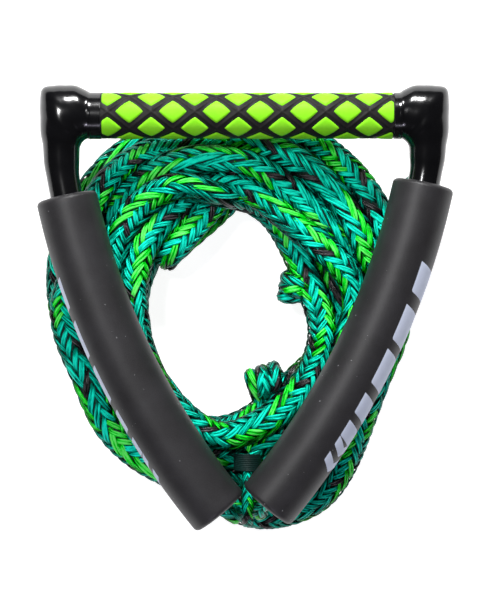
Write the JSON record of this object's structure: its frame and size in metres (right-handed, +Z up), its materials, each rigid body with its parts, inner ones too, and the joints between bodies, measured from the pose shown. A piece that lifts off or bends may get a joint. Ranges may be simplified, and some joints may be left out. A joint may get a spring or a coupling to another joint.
{
  "type": "tow rope handle",
  "caption": "Wakesurf tow handle with a rubber-gripped bar, a rope bridle through curved foam floats, and its coiled braided tow rope.",
  "frame": {"origin": "on the floor that the coil lies on, at the crossing of the handle's centre line and the coil's centre line", "axes": "+X along the bar to the right, +Y from the coil's middle towards the bar, +Z up"},
  "size_m": [0.2571, 0.2783, 0.0868],
  "materials": {
    "bar_metal": "satin",
    "cap_black": "gloss",
    "grip_black": "matte",
    "grip_green": "satin",
    "boot_black": "gloss",
    "float_foam": "matte",
    "float_print": "matte",
    "rope_teal": "satin",
    "rope_neon": "satin",
    "rope_black": "satin",
    "whipping": "satin"
  },
  "bodies": {
    "rope": {"rope_coil": "rope_teal", "rope_eye": "rope_teal", "eye_whipping": "whipping", "rope_lead": "rope_teal", "rope_knot_upper": "rope_teal", "rope_knot_lower": "rope_teal", "rope_bight": "rope_teal", "rope_tail": "rope_teal", "tow_whipping": "whipping", "tow_loop": "rope_teal"},
    "handle": {"bar_tube": "bar_metal", "end_cap_left": "cap_black", "end_cap_right": "cap_black", "grip_sleeve": "grip_black", "grip_pads": "grip_green", "boot_left": "boot_black", "boot_right": "boot_black", "bridle_rope": "rope_teal"},
    "float_l": {"float_left": "float_foam"},
    "float_r": {"float_right": "float_foam"}
  },
  "joints": [
    {"name": "handle_lift", "type": "hinge", "parent": "rope", "child": "handle", "pos_m": [0.002, -0.1205, 0.035], "axis": [1, 0, 0], "range_deg": [0, 75]},
    {"name": "left_float_slide", "type": "hinge", "parent": "handle", "child": "float_l", "pos_m": [0.33911, 0.17371, 0.0678], "axis": [0, 0, -1], "range_deg": [0, 0.82]},
    {"name": "right_float_slide", "type": "hinge", "parent": "handle", "child": "float_r", "pos_m": [-0.33866, 0.18043, 0.0678], "axis": [0, 0, 1], "range_deg": [0, 0.45]}
  ]
}
